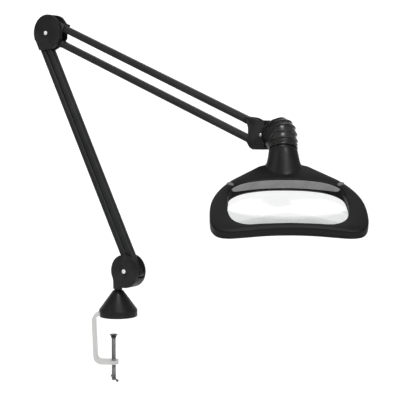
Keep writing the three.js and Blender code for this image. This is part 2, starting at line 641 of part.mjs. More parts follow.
// The neck flares from a round end square to the stem into a circle on the shell's top.
function neckFlare() {
  const flare = new THREE.CylinderGeometry(head.neckBase, head.neckTop, 1, 36);
  const spot = flare.attributes.position;
  const top = neckPoint(neck.bootEnd + gap);
  const turn = new THREE.Matrix4().makeRotationX(-rad(neckTilt));
  const point = new THREE.Vector3();
  for (let i = 0; i < spot.count; i += 1) {
    const upper = spot.getY(i) < 0;
    point.set(spot.getX(i), 0, spot.getZ(i));
    if (upper) point.applyMatrix4(turn).add(top);
    else point.set(point.x, -point.z, head.rear - 6);
    if (!upper) point.y = -point.y;
    spot.setXYZ(i, point.x, point.y, point.z);
  }
  return flare;
}

function headShell() {
  const foot = floorPlate.thick + gap;
  const slab = standing(outline(mirroredLoop(rimHalf, 64)), foot, head.rear + 5);
  const side = outline([
    [-30, foot - 1], [frontEdge + 10, foot - 1], [frontEdge + 10, head.front - 3],
    [frontEdge - 3, head.front], [2, head.rear], [-12, head.rear - 1.5], [-30, head.rear - 8],
  ]);
  const profile = standing(side, -120, 120).rotateX(Math.PI / 2).rotateZ(Math.PI / 2);
  const body = join(common(slab, profile), neckFlare());
  const window = standing(outline(mirroredLoop(windowHalf, 44)), 0, head.rear + 6);
  const seat = standing(outline(mirroredLoop(grown(lensHalf, gap), 44)), 0, lens.seat);
  const bay = block(-driverBay.half, driverBay.half, driverBay.rear, driverBay.front, 0, driverBay.ceiling);
  const channels = [-1, 1].map((way) => lightBlock(way, 2 * gap, 0, light.ceiling + gap));
  const wells = [-1, 1].map((way) => buttonShape(gap, -1, head.rear + 6, way));
  const bore = alongNeck(stem.bushRadius + gap, neck.bootEnd - 3, stem.length + 3);
  return cut(body, window, seat, bay, bore, ...channels, ...wells);
}

// A block over one of the light strips, larger than the strip all round by the clearance.
function lightBlock(way, clear, zFrom, zTo) {
  const x = way * light.x;
  const half = light.width / 2 + clear;
  const long = light.length / 2 + clear;
  return block(x - half, x + half, light.v - long, light.v + long, zFrom, zTo);
}

function buttonShape(clear, zFrom, zTo, side) {
  const radius = button.radius + clear;
  const rod = barZ(radius, zFrom, zTo, 0, 0, 20).scale(button.stretch, 1, 1);
  return rod.rotateZ(-side * rad(button.turn)).translate(side * button.x, button.v, 0);
}

function headFloor() {
  const plateShape = standing(outline(mirroredLoop(rimHalf, 64)), 0, floorPlate.thick);
  const window = standing(outline(mirroredLoop(windowHalf, 44)), -1, floorPlate.thick + 1);
  const slots = [-1, 1].map((way) => lightBlock(way, gap, -1, floorPlate.thick + 1));
  return cut(plateShape, window, ...slots);
}

// The lens: the seat's outline between two shallow domes.
function lensBody() {
  const low = floorPlate.thick + gap + 0.6;
  const slab = standing(outline(mirroredLoop(lensHalf, 44)), low - 10, low + 20);
  const radius = (lens.domeX * lens.domeX) / (2 * lens.crown) + lens.crown / 2;
  const rise = (r) => Math.sqrt(radius * radius - r * r) - (radius - lens.crown);
  const rings = [0, 0.25, 0.5, 0.75, 1, 1.25].map((share) => share * lens.domeX);
  const under = rings.map((r) => [r, low - 0.1 * rise(r)]);
  const over = rings.map((r) => [r, low + lens.thick + rise(r)]);
  const body = turned([...under, ...over.reverse()], 24);
  body.scale(1, lens.domeY / lens.domeX, 1).translate(0, lens.middle, 0);
  return common(slab, body);
}

function makeHead() {
  piece(headGroup, 'head_shell', headShell(), blackPlastic);
  piece(headGroup, 'head_floor', headFloor(), blackPlastic);
  piece(headGroup, 'lens', lensBody(), glass);
  const bush = alongNeck(stem.bushRadius, neck.bootEnd + gap, stem.length + 2);
  const hollow = alongNeck(stem.radius + runningGap, neck.bootEnd - 5, stem.length + 1);
  piece(headGroup, 'stem_bush', cut(bush, hollow), nylon);
  for (const [side, word] of [[1, 'left'], [-1, 'right']]) {
    const top = light.ceiling;
    piece(headGroup, `light_board_${word}`, lightBlock(side, 0, top - light.board, top), board);
    piece(headGroup, `diffuser_${word}`, lightBlock(side, 0, gap, floorPlate.thick), diffuser);
    const buttonFace = buttonTop();
    const pressed = buttonShape(0, buttonFace - button.height, buttonFace, side);
    piece(headGroup, `switch_${word}`, pressed, greyPlastic);
  }
}

// The shell's top falls from its rear height to its front height.
function buttonTop() {
  const fall = (head.rear - head.front) * (button.v / frontEdge);
  return head.rear - fall + button.proud;
}

// ---- the lamp -----------------------------------------------------------------------------
makeClamp();
makeClampScrew();
piece(armGroup, 'swivel_post', swivelPost(), blackPaint);
makeBaseKnuckle();
makeTube('lower_main', baseMain, arm.lowerAngle, arm.lower, true);
makeTube('lower_link', baseLink, arm.lowerAngle, arm.lower, false);
makeElbow();
makeTube('upper_main', elbowUpperMain, arm.upperAngle, arm.upper, true);
makeTube('upper_link', elbowUpperLink, arm.upperAngle, arm.upper, false);
makeWrist();
makeNeck();
makeHead();

export default lamp;
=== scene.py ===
import json
import math

import bmesh
import bpy
from mathutils import Matrix, Vector

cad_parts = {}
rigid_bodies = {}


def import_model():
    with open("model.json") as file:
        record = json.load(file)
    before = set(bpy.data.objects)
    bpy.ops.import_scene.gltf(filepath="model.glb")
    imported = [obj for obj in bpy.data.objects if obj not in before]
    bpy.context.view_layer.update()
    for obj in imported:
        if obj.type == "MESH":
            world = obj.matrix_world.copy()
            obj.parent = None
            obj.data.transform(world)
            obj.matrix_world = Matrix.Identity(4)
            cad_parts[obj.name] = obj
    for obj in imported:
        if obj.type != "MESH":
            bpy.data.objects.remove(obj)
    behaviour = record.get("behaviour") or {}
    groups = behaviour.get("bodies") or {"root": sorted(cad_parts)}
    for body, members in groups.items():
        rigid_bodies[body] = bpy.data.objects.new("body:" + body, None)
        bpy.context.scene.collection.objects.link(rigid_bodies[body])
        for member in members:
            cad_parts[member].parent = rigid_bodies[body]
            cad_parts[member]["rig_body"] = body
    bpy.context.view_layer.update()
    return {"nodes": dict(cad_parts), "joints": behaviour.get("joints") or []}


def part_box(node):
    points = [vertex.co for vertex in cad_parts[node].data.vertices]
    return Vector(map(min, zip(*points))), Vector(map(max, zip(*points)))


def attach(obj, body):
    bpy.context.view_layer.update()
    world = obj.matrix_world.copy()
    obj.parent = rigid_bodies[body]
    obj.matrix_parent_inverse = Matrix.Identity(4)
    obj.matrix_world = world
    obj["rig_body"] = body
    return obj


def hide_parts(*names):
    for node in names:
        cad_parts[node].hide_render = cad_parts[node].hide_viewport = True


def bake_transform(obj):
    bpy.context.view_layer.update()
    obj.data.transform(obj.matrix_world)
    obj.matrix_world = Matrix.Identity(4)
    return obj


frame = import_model()


# Studio. A pale floor that sweeps up into a wall, well behind and below the lamp, soft lights and
# a long lens a metre and a half away, a little above the clamp and looking slightly down.
def build_studio():
    scene = bpy.context.scene
    lens = bpy.data.cameras.new("studio_camera")
    lens.sensor_width, lens.lens = 36, 99.3
    camera = bpy.data.objects.new("studio_camera", lens)
    scene.collection.objects.link(camera)
    camera.location = (0.13335, -1.59604, 0.28165)
    turn, dip = math.radians(0.5), math.radians(4)
    ahead = Vector((-math.sin(turn) * math.cos(dip), math.cos(turn) * math.cos(dip), -math.sin(dip)))
    camera.rotation_mode = "QUATERNION"
    camera.rotation_quaternion = ahead.to_track_quat("-Z", "Y")
    scene.camera = camera
    scene.view_settings.view_transform = "Standard"

    half, floor_level, wall_at, bend_radius, wall_top = 2.4, -0.7, 3.2, 1.2, 1.9
    section = [(-4.0, floor_level)]
    for step in range(13):
        angle = math.radians(90 * step / 12)
        section.append((wall_at - bend_radius + bend_radius * math.sin(angle),
                        floor_level + bend_radius - bend_radius * math.cos(angle)))
    section.append((wall_at, wall_top))
    sweep = bpy.data.meshes.new("studio_sweep")
    corners = [(x, y, z) for y, z in section for x in (-half, half)]
    sweep.from_pydata(corners, [], [(2 * i, 2 * i + 1, 2 * i + 3, 2 * i + 2) for i in range(len(section) - 1)])
    backdrop = bpy.data.objects.new("studio_sweep", sweep)
    scene.collection.objects.link(backdrop)
    for face in sweep.polygons:
        face.use_smooth = True
    paper = bpy.data.materials.new("pale_paper")
    paper.use_nodes = True
    paper.node_tree.nodes["Principled BSDF"].inputs["Base Color"].default_value = (0.92, 0.92, 0.92, 1)
    paper.node_tree.nodes["Principled BSDF"].inputs["Roughness"].default_value = 0.95
    paper.node_tree.nodes["Principled BSDF"].inputs["Specular IOR Level"].default_value = 0.0
    paper.node_tree.nodes["Principled BSDF"].inputs["Emission Color"].default_value = (1, 1, 1, 1)
    paper.node_tree.nodes["Principled BSDF"].inputs["Emission Strength"].default_value = 0.42
    sweep.materials.append(paper)

    world = bpy.data.worlds.new("soft_room")
    world.use_nodes = True
    world.node_tree.nodes["Background"].inputs["Color"].default_value = (1, 1, 1, 1)
    world.node_tree.nodes["Background"].inputs["Strength"].default_value = 0.34
    scene.world = world

    for name, place, aim, size, watts in (
        ("key_softbox", (0.75, -1.75, 1.35), (0.05, 0, 0.2), 0.5, 16),
        ("left_softbox", (-1.5, -1.2, 0.9), (0.0, 0, 0.2), 0.7, 5),
        ("top_softbox", (0.1, -0.85, 2.3), (0.1, -0.1, 0.1), 0.6, 15),
        ("wall_light", (0.0, 1.3, 2.2), (0.0, 3.2, 0.2), 1.8, 13),
    ):
        box = bpy.data.lights.new(name, "AREA")
        box.shape, box.size, box.energy = "SQUARE", size, watts
        lamp = bpy.data.objects.new(name, box)
        lamp.location = place
        lamp.rotation_mode = "QUATERNION"
        lamp.rotation_quaternion = (Vector(aim) - Vector(place)).to_track_quat("-Z", "Y")
        scene.collection.objects.link(lamp)


build_studio()


# Clamp frame. A flat steel bar bent twice into a C and rounded at the lower end, with powder
# coated white enamel over softened edges. The socket tube and the threaded nut are pressed in.
MM = 0.001


def shown(name, bm, material, body, stands_for=(), crease=35):
    """Makes the piece from its mesh, paints it and hangs it on its body."""
    mesh = bpy.data.meshes.new(name)
    bmesh.ops.recalc_face_normals(bm, faces=bm.faces)
    bm.to_mesh(mesh)
    bm.free()
    mesh.polygons.foreach_set("use_smooth", [True] * len(mesh.polygons))
    mesh.set_sharp_from_angle(angle=math.radians(crease))
    mesh.materials.append(material)
    piece = bpy.data.objects.new(name, mesh)
    bpy.context.scene.collection.objects.link(piece)
    if body:
        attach(piece, body)
    if stands_for:
        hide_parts(*stands_for)
    return piece


def eased(node, radius, material, steps=2, sharp=28):
    """The frame's own solid with every sharp edge rounded, as pressing or moulding leaves it."""
    solid = frame["nodes"][node]
    bm = bmesh.new()
    bm.from_mesh(solid.data)
    bmesh.ops.remove_doubles(bm, verts=bm.verts, dist=2e-6)
    bmesh.ops.dissolve_limit(bm, angle_limit=math.radians(1.5), verts=bm.verts, edges=bm.edges)
    edges = [e for e in bm.edges if len(e.link_faces) == 2
             and e.calc_face_angle(0) > math.radians(sharp)]
    bmesh.ops.bevel(bm, geom=edges, offset=radius * MM, segments=steps, profile=0.5,
                    affect="EDGES", clamp_overlap=True)
    return shown(node + "_finished", bm, material, solid["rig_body"], (node,))


def node_group(name, inputs, outputs):
    """An empty shader group with these sockets, each (name, kind, value)."""
    group = bpy.data.node_groups.new(name, "ShaderNodeTree")
    for label, kind, value in inputs:
        socket = group.interface.new_socket(label, in_out="INPUT", socket_type=kind)
        if value is not None:
            socket.default_value = value
    for label, kind in outputs:
        group.interface.new_socket(label, in_out="OUTPUT", socket_type=kind)
    entry = group.nodes.new("NodeGroupInput")
    leave = group.nodes.new("NodeGroupOutput")
    return group, entry, leave


def surface_grain():
    """Fine texture of a coating or moulding: Height for a bump, and a mask of its dimples."""
    group, entry, leave = node_group(
        "surface_grain",
        [("Vector", "NodeSocketVector", None), ("Scale", "NodeSocketFloat", 2500.0),
         ("Coarse Share", "NodeSocketFloat", 0.3)],
        [("Height", "NodeSocketFloat"), ("Mask", "NodeSocketFloat")])
    fine = group.nodes.new("ShaderNodeTexNoise")
    fine.inputs["Detail"].default_value = 3
    fine.inputs["Roughness"].default_value = 0.6
    coarse = group.nodes.new("ShaderNodeTexNoise")
    coarse.inputs["Detail"].default_value = 2
    lower = group.nodes.new("ShaderNodeMath")
    lower.operation, lower.inputs[1].default_value = "MULTIPLY", 0.13
    mix = group.nodes.new("ShaderNodeMix")
    link = group.links.new
    for noise in (fine, coarse):
        link(entry.outputs["Vector"], noise.inputs["Vector"])
    link(entry.outputs["Scale"], fine.inputs["Scale"])
    link(entry.outputs["Scale"], lower.inputs[0])
    link(lower.outputs[0], coarse.inputs["Scale"])
    link(entry.outputs["Coarse Share"], mix.inputs["Factor"])
    link(fine.outputs["Fac"], mix.inputs["A"])
    link(coarse.outputs["Fac"], mix.inputs["B"])
    link(mix.outputs["Result"], leave.inputs["Height"])
    link(coarse.outputs["Fac"], leave.inputs["Mask"])
    return group


def handled_surface():
    """Colour and roughness of a thing in use: faint smears, settled dust and rubbed edges."""
    group, entry, leave = node_group(
        "handled_surface",
        [("Vector", "NodeSocketVector", None), ("Color", "NodeSocketColor", (0.5, 0.5, 0.5, 1)),
         ("Rubbed Color", "NodeSocketColor", (0.5, 0.5, 0.5, 1)),
         ("Rubbed", "NodeSocketFloat", 0.3), ("Smear", "NodeSocketFloat", 0.1),
         ("Roughness", "NodeSocketFloat", 0.5)],
        [("Color", "NodeSocketColor"), ("Roughness", "NodeSocketFloat")])
    link = group.links.new
    smear = group.nodes.new("ShaderNodeTexNoise")
    smear.inputs["Scale"].default_value = 38
    smear.inputs["Detail"].default_value = 8
    smear.inputs["Roughness"].default_value = 0.72
    smear.inputs["Distortion"].default_value = 0.6
    link(entry.outputs["Vector"], smear.inputs["Vector"])
    edge = group.nodes.new("ShaderNodeNewGeometry")
    ramp = group.nodes.new("ShaderNodeMapRange")
    ramp.inputs["From Min"].default_value, ramp.inputs["From Max"].default_value = 0.53, 0.62
    link(edge.outputs["Pointiness"], ramp.inputs["Value"])
    rub = group.nodes.new("ShaderNodeMath")
    rub.operation = "MULTIPLY"
    link(ramp.outputs["Result"], rub.inputs[0])
    link(entry.outputs["Rubbed"], rub.inputs[1])
    broken = group.nodes.new("ShaderNodeMath")
    broken.operation = "MULTIPLY"
    link(rub.outputs[0], broken.inputs[0])
    link(smear.outputs["Fac"], broken.inputs[1])
    worn = group.nodes.new("ShaderNodeMix")
    worn.data_type = "RGBA"
    link(broken.outputs[0], worn.inputs["Factor"])
    link(entry.outputs["Color"], worn.inputs["A"])
    link(entry.outputs["Rubbed Color"], worn.inputs["B"])
    tint = group.nodes.new("ShaderNodeMapRange")
    tint.inputs["From Min"].default_value, tint.inputs["From Max"].default_value = 0.3, 0.7
    tint.inputs["To Min"].default_value, tint.inputs["To Max"].default_value = -1.0, 1.0
    link(smear.outputs["Fac"], tint.inputs["Value"])
    amount = group.nodes.new("ShaderNodeMath")
    amount.operation = "MULTIPLY"
    link(tint.outputs["Result"], amount.inputs[0])
    link(entry.outputs["Smear"], amount.inputs[1])
    shade = group.nodes.new("ShaderNodeMath")
    shade.operation, shade.inputs[1].default_value = "ADD", 1.0
    link(amount.outputs[0], shade.inputs[0])
    scaled = group.nodes.new("ShaderNodeVectorMath")
    scaled.operation = "SCALE"
    link(worn.outputs["Result"], scaled.inputs[0])
    link(shade.outputs[0], scaled.inputs["Scale"])
    link(scaled.outputs[0], leave.inputs["Color"])
    rough = group.nodes.new("ShaderNodeMath")
    rough.operation = "MULTIPLY"
    link(entry.outputs["Roughness"], rough.inputs[0])
    link(shade.outputs[0], rough.inputs[1])
    link(rough.outputs[0], leave.inputs["Roughness"])
    return group


GRAIN, HANDLED = surface_grain(), handled_surface()


def coated(name, colour, rubbed, roughness, grain=2500.0, depth=0.02, metallic=0.0,
           specular=0.5, wear=0.3, smear=0.08, coarse=0.3):
    """A finish over the bare material: smears, rubbed edges and a fine texture."""
    material = bpy.data.materials.new(name)
    material.use_nodes = True
    nodes, link = material.node_tree.nodes, material.node_tree.links.new
    shader = nodes["Principled BSDF"]
    shader.inputs["Metallic"].default_value = metallic
    shader.inputs["Specular IOR Level"].default_value = specular
    place = nodes.new("ShaderNodeTexCoord")
    handled = nodes.new("ShaderNodeGroup")
    handled.node_tree = HANDLED
    handled.inputs["Color"].default_value = (*colour, 1)
    handled.inputs["Rubbed Color"].default_value = (*rubbed, 1)
    handled.inputs["Rubbed"].default_value = wear
    handled.inputs["Smear"].default_value = smear
    handled.inputs["Roughness"].default_value = roughness
    texture = nodes.new("ShaderNodeGroup")
    texture.node_tree = GRAIN
    texture.inputs["Scale"].default_value = grain
    texture.inputs["Coarse Share"].default_value = coarse
    bump = nodes.new("ShaderNodeBump")
    bump.inputs["Distance"].default_value = depth * MM
    bump.inputs["Strength"].default_value = 1.0
    for group in (handled, texture):
        link(place.outputs["Object"], group.inputs["Vector"])
    link(handled.outputs["Color"], shader.inputs["Base Color"])
    link(handled.outputs["Roughness"], shader.inputs["Roughness"])
    link(texture.outputs["Height"], bump.inputs["Height"])
    link(bump.outputs["Normal"], shader.inputs["Normal"])
    return material


white_enamel = coated("white_enamel", (0.62, 0.62, 0.61), (0.36, 0.36, 0.37), 0.32, grain=900,
                      depth=0.03, wear=0.45, smear=0.05)
turned_steel = coated("turned_steel", (0.52, 0.53, 0.54), (0.7, 0.7, 0.71), 0.24, grain=4000,
                      depth=0.006, metallic=1.0, smear=0.1)
oiled_steel = coated("oiled_steel", (0.17, 0.17, 0.175), (0.5, 0.5, 0.5), 0.2, grain=3000,
                     depth=0.008, metallic=1.0, wear=0.3, smear=0.25)
eased("clamp_frame", 0.9, white_enamel, steps=3)
eased("clamp_nut", 0.3, turned_steel)
eased("clamp_socket", 0.3, turned_steel)


# Jaw pad. A thin strip of ribbed rubber glued under the upper jaw, so that the clamp grips the
# table top without marking it.
black_rubber = coated("black_rubber", (0.012, 0.012, 0.012), (0.05, 0.05, 0.05), 0.62, grain=1500,
                      depth=0.04, specular=0.35, wear=0.4, smear=0.15)


def jaw_pad():
    low, high = (Vector(corner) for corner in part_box("jaw_pad"))
    ribs, rib_depth = 20, 0.35 * MM
    bm = bmesh.new()
    span = (high.x - low.x) / ribs
    profile = [(low.x, high.z)]
    for rib in range(ribs):
        start = low.x + rib * span
        profile += [(start + 0.02 * span, low.z), (start + 0.68 * span, low.z),
                    (start + 0.76 * span, low.z + rib_depth), (start + 0.98 * span, low.z + rib_depth)]
    profile += [(high.x, high.z)]
    face = bm.faces.new([bm.verts.new((x, low.y, z)) for x, z in profile])
    swept = bmesh.ops.extrude_face_region(bm, geom=[face])
    moved = [v for v in swept["geom"] if isinstance(v, bmesh.types.BMVert)]
    bmesh.ops.translate(bm, verts=moved, vec=(0, high.y - low.y, 0))
    return shown("jaw_pad_ribbed", bm, black_rubber, "clamp", ("jaw_pad",))


jaw_pad()


# Clamp screw. A steel rod with a rolled thread, plain at the foot where the tommy bar passes
# through it, and turned down at the top to hold the foot pad.
def revolve(profile, sides=64, closed=False):
    """A turned shape: (radius, height) points in millimetres, swept round Z."""
    bm = bmesh.new()
    rings = []
    for radius, height in profile:
        if radius < 1e-6:
            rings.append([bm.verts.new((0, 0, height * MM))])
            continue
        rings.append([bm.verts.new((radius * MM * math.cos(2 * math.pi * i / sides),
                                    radius * MM * math.sin(2 * math.pi * i / sides), height * MM))
                      for i in range(sides)])
    pairs = list(zip(rings, rings[1:])) + ([(rings[-1], rings[0])] if closed else [])
    for first, second in pairs:
        for i in range(sides):
            j = (i + 1) % sides
            corners = [first[i % len(first)], first[j % len(first)],
                       second[j % len(second)], second[i % len(second)]]
            unique = list(dict.fromkeys(corners))
            if len(unique) > 2:
                bm.faces.new(unique)
    return bm


def cut_away(piece, *tools):
    """Cuts the tool shapes out of the piece."""
    for tool in tools:
        mesh = bpy.data.meshes.new("tool")
        bmesh.ops.recalc_face_normals(tool, faces=tool.faces)
        tool.to_mesh(mesh)
        tool.free()
        cutter = bpy.data.objects.new("tool", mesh)
        bpy.context.scene.collection.objects.link(cutter)
        step = piece.modifiers.new("cut", "BOOLEAN")
        step.operation, step.solver, step.object = "DIFFERENCE", "EXACT", cutter
        bpy.context.view_layer.update()
        seen = piece.evaluated_get(bpy.context.evaluated_depsgraph_get())
        result = bpy.data.meshes.new_from_object(seen)
        piece.modifiers.clear()
        piece.data = result
        bpy.data.objects.remove(cutter)
    piece.data.set_sharp_from_angle(angle=math.radians(35))
    return piece


def clamp_screw():
    low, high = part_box("clamp_screw")
    centre = (low + high) / 2
    radius = (high.x - low.x) / 2 / MM
    bottom, top = low.z / MM, high.z / MM
    pitch, tooth, per_turn, around = 1.0, 0.28, 6, 30
    plain, lead_in = bottom + 8, 1.2
    profile = [(0, bottom), (radius - 0.5, bottom), (radius, bottom + 0.5), (radius, plain)]
    rows = int((top - plain - 0.6) / pitch * per_turn)
    bm = bmesh.new()
    rings = []
    for r, z in profile[1:]:
        rings.append([(r, z)] * around)
    for row in range(1, rows):
        z = plain + row * pitch / per_turn
        fade = min(1, (z - plain) / lead_in)
        ring = []
        for i in range(around):
            phase = (z / pitch - i / around) % 1.0
            dip = tooth * fade * (1 - abs(2 * phase - 1) * 1.15 if abs(2 * phase - 1) < 0.87 else 0)
            ring.append((radius - dip, z))
        rings.append(ring)
    rings.append([(radius - 0.4, top - 0.3)] * around)
    made = [[bm.verts.new((r * MM * math.cos(2 * math.pi * i / around) + centre.x,
                           r * MM * math.sin(2 * math.pi * i / around), z * MM))
             for i, (r, z) in enumerate(ring)] for ring in rings]
    for first, second in zip(made, made[1:]):
        for i in range(around):
            j = (i + 1) % around
            bm.faces.new((first[i], first[j], second[j], second[i]))
    bm.faces.new(made[0][::-1])
    bm.faces.new(made[-1])
    screw = shown("clamp_screw_threaded", bm, oiled_steel, "clamp_screw", ("clamp_screw",), crease=50)
    bar_low, bar_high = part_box("tommy_bar")
    way = pivot["tommy_slide"]["axis"]
    hole = revolve([(0, -8), (1.37, -8), (1.37, 8), (0, 8)], 20)
    turn = Vector(way).to_track_quat("Z", "Y").to_matrix().to_4x4()
    bmesh.ops.transform(hole, matrix=Matrix.Translation((centre.x, 0, (bar_low.z + bar_high.z) / 2)) @ turn,
                        verts=hole.verts)
    return cut_away(screw, hole)


pivot = {joint["name"]: joint for joint in frame["joints"]}
clamp_screw()


# Tommy bar. A plain rod with a ball swaged on each end, which slides through the foot of the
# screw and turns it by hand.
def tommy_bar():
    low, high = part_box("tommy_bar")
    way = Vector(pivot["tommy_slide"]["axis"])
    rod, ball, half = 1.25, 2.0, 16.5
    profile = [(0, -half - ball)]
    for step in range(1, 9):
        angle = math.radians(-90 + step * 15.5)
        profile.append((ball * math.cos(angle), -half + ball * math.sin(angle)))
    profile += [(rod, -half + 2.4), (rod, half - 2.4)]
    for step in range(8, 0, -1):
        angle = math.radians(90 - step * 15.5)
        profile.append((ball * math.cos(angle), half + ball * math.sin(angle)))
    profile.append((0, half + ball))
    bm = revolve(profile, 32)
    turn = way.to_track_quat("Z", "Y").to_matrix().to_4x4()
    bmesh.ops.transform(bm, matrix=Matrix.Translation((low + high) / 2) @ turn, verts=bm.verts)
    shown("tommy_bar_swaged", bm, oiled_steel, "tommy_bar", ("tommy_bar",), crease=60)


tommy_bar()


# Foot pad. A small cup pressed from sheet steel and blackened, which swivels on the end of the
# screw and bears on the underside of the table.
black_paint = coated("black_paint", (0.0085, 0.0085, 0.009), (0.10, 0.10, 0.105), 0.36, grain=1300,
                     depth=0.03, specular=0.25, wear=0.3, smear=0.15, coarse=0.6)


def foot_pad():
    low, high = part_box("clamp_pad")
    centre, top, bottom = (low.x + high.x) / 2, high.z / MM, low.z / MM
    rim, neck, bore = (high.x - low.x) / 2 / MM, 4.0, 3.25
    profile = [(0, top), (rim - 0.35, top), (rim - 0.1, top - 0.1), (rim, top - 0.35), (rim - 0.1, top - 0.65),
               (rim - 0.6, top - 0.95), (neck + 0.7, top - 1.4), (neck + 0.2, top - 1.9), (neck, top - 2.6),
               (neck, bottom + 0.2), (neck - 0.2, bottom), (bore, bottom), (bore, top - 1.3), (0, top - 1.3)]
    bm = revolve(profile, 48)
    bmesh.ops.translate(bm, verts=bm.verts, vec=(centre, 0, 0))
    shown("foot_pad_pressed", bm, black_paint, "screw_pad", ("clamp_pad",))


foot_pad()


# Base cone. A hollow moulding that covers the socket on top of the clamp, notched where the bar
# comes out. The nylon bush inside it carries the arm's post.
black_moulding = coated("black_moulding", (0.0095, 0.0095, 0.01), (0.05, 0.05, 0.052), 0.40,
                        grain=1700, depth=0.07, specular=0.23, wear=0.35, smear=0.3, coarse=0.35)
nylon = coated("nylon", (0.68, 0.66, 0.58), (0.7, 0.68, 0.6), 0.45, grain=1500, depth=0.01, smear=0.03)
eased("base_cone", 0.8, black_moulding, steps=3)
eased("swivel_bush", 0.3, nylon)
eased("swivel_post", 0.4, black_paint)


# Lower knuckle. Two painted steel cheeks rise from the post and hold the lower ends of both tubes
# on pins. A moulded cover closes each side, held by one screw under a bright cap.
bright_plastic = coated("bright_plastic", (0.86, 0.86, 0.86), (0.7, 0.7, 0.7), 0.25, grain=1500,
                        depth=0.01, smear=0.02)
arm_turn = Matrix.Rotation(math.atan2(pivot["neck_turn"]["axis"][1], pivot["neck_turn"]["axis"][0]), 4, "Z")
eased("base_bracket", 0.35, black_paint)
eased("base_cover_front", 0.9, black_moulding, steps=3)
eased("base_cover_rear", 0.9, black_moulding, steps=3)
eased("base_pin_main", 0.3, turned_steel)
eased("base_pin_link", 0.3, turned_steel)


def screw_cap(node, material, flats=0):
    """A domed cap with a sunk centre, or a hexagon head, over a cover's screw."""
    low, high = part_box(node)
    local = arm_turn.inverted() @ ((low + high) / 2)
    front = 1 if local.y < 0 else -1
    radius, rise, base = 3.2, 1.4, 10.15
    if flats:
        profile = [(0, 0), (radius, 0), (radius, rise * 0.7), (radius * 0.8, rise), (0, rise)]
    else:
        profile = [(0, 0), (radius, 0), (radius, rise * 0.35), (radius * 0.93, rise * 0.65),
                   (radius * 0.72, rise * 0.92), (radius * 0.5, rise), (radius * 0.36, rise * 0.98),
                   (radius * 0.32, rise * 0.5), (0, rise * 0.45)]
    bm = revolve(profile, flats or 48)
    place = Matrix.Translation((local.x, -front * base * MM, local.z))
    place = place @ Matrix.Rotation(math.radians(90 * front), 4, "X")
    bmesh.ops.transform(bm, matrix=arm_turn @ place, verts=bm.verts)
    shown(node + "_moulded", bm, material, frame["nodes"][node]["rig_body"], (node,), crease=50)


screw_cap("base_cap_front", bright_plastic)
screw_cap("base_cap_rear", black_moulding)


# Arm tubes. Four lengths of square steel tube with rounded corners, painted satin black. Pressed
# end fittings turn on the pins, and a long coil spring runs inside each main tube.
for arm in ("lower_main", "lower_link", "upper_main", "upper_link"):
    eased(arm + "_tube", 0.15, black_paint, steps=1, sharp=50)
    eased(arm + "_end_a", 0.4, black_paint)
    eased(arm + "_end_b", 0.4, black_paint)
for spring in ("lower_main_spring", "upper_main_spring"):
    coil = frame["nodes"][spring]
    coil.data.materials.clear()
    coil.data.materials.append(turned_steel)


# Elbow. The same build as the lower knuckle, with both pairs of tubes on pins between two
# cheeks, and a moulded hood on each side that reaches down over the lower tubes.
eased("elbow_bracket", 0.35, black_paint)
eased("elbow_cover_front", 0.9, black_moulding, steps=3)
eased("elbow_cover_rear", 0.9, black_moulding, steps=3)
for pin in ("lower_main", "lower_link", "upper_main", "upper_link"):
    eased("elbow_pin_" + pin, 0.3, turned_steel)
screw_cap("elbow_cap_front", bright_plastic, flats=6)
screw_cap("elbow_cap_rear", black_moulding)


# Wrist. One moulded block takes the upper tubes between its cheeks and grips the neck's spigot
# with a small set screw.
eased("wrist_body", 1.0, black_moulding, steps=3)
eased("wrist_pin_main", 0.3, black_paint)
eased("wrist_pin_link", 0.3, black_paint)
eased("wrist_screw", 0.25, turned_steel)
eased("neck_spigot", 0.4, turned_steel)


# Neck joint. A steel fork turns on the spigot and holds the stem on a cross pin, out of sight
# inside the bellows.
eased("neck_yoke", 0.4, turned_steel)
eased("neck_pin", 0.3, turned_steel)
eased("neck_stem", 0.4, turned_steel)


# Neck bellows. A moulded rubber sleeve with rounded folds, narrow where it meets the wrist and
# full over the bend, stretched over a lip at the top of the magnifier's neck.
bellows_rubber = coated("bellows_rubber", (0.017, 0.017, 0.0165), (0.08, 0.08, 0.08), 0.27, grain=1800,
                        depth=0.02, specular=0.5, wear=0.5, smear=0.15)
bend_at = Vector(pivot["neck_bend"]["pos_m"])
arm_way = Vector(pivot["neck_turn"]["axis"]).normalized()
head_way = Vector(pivot["head_turn"]["axis"]).normalized()
side_way = Vector(pivot["neck_bend"]["axis"]).normalized()


def through(points, share):
    """A point on the smooth open curve through the points, evenly by their number."""
    place = share * (len(points) - 1)
    at = min(int(place), len(points) - 2)
    u = place - at
    p0, p1, p2, p3 = (Vector(points[min(max(at + k, 0), len(points) - 1)]) for k in (-1, 0, 1, 2))
    return (p1 * 2 + (p2 - p0) * u + (p0 * 2 - p1 * 5 + p2 * 4 - p3) * u * u
            + (p1 * 3 - p0 - p2 * 3 + p3) * u ** 3) / 2


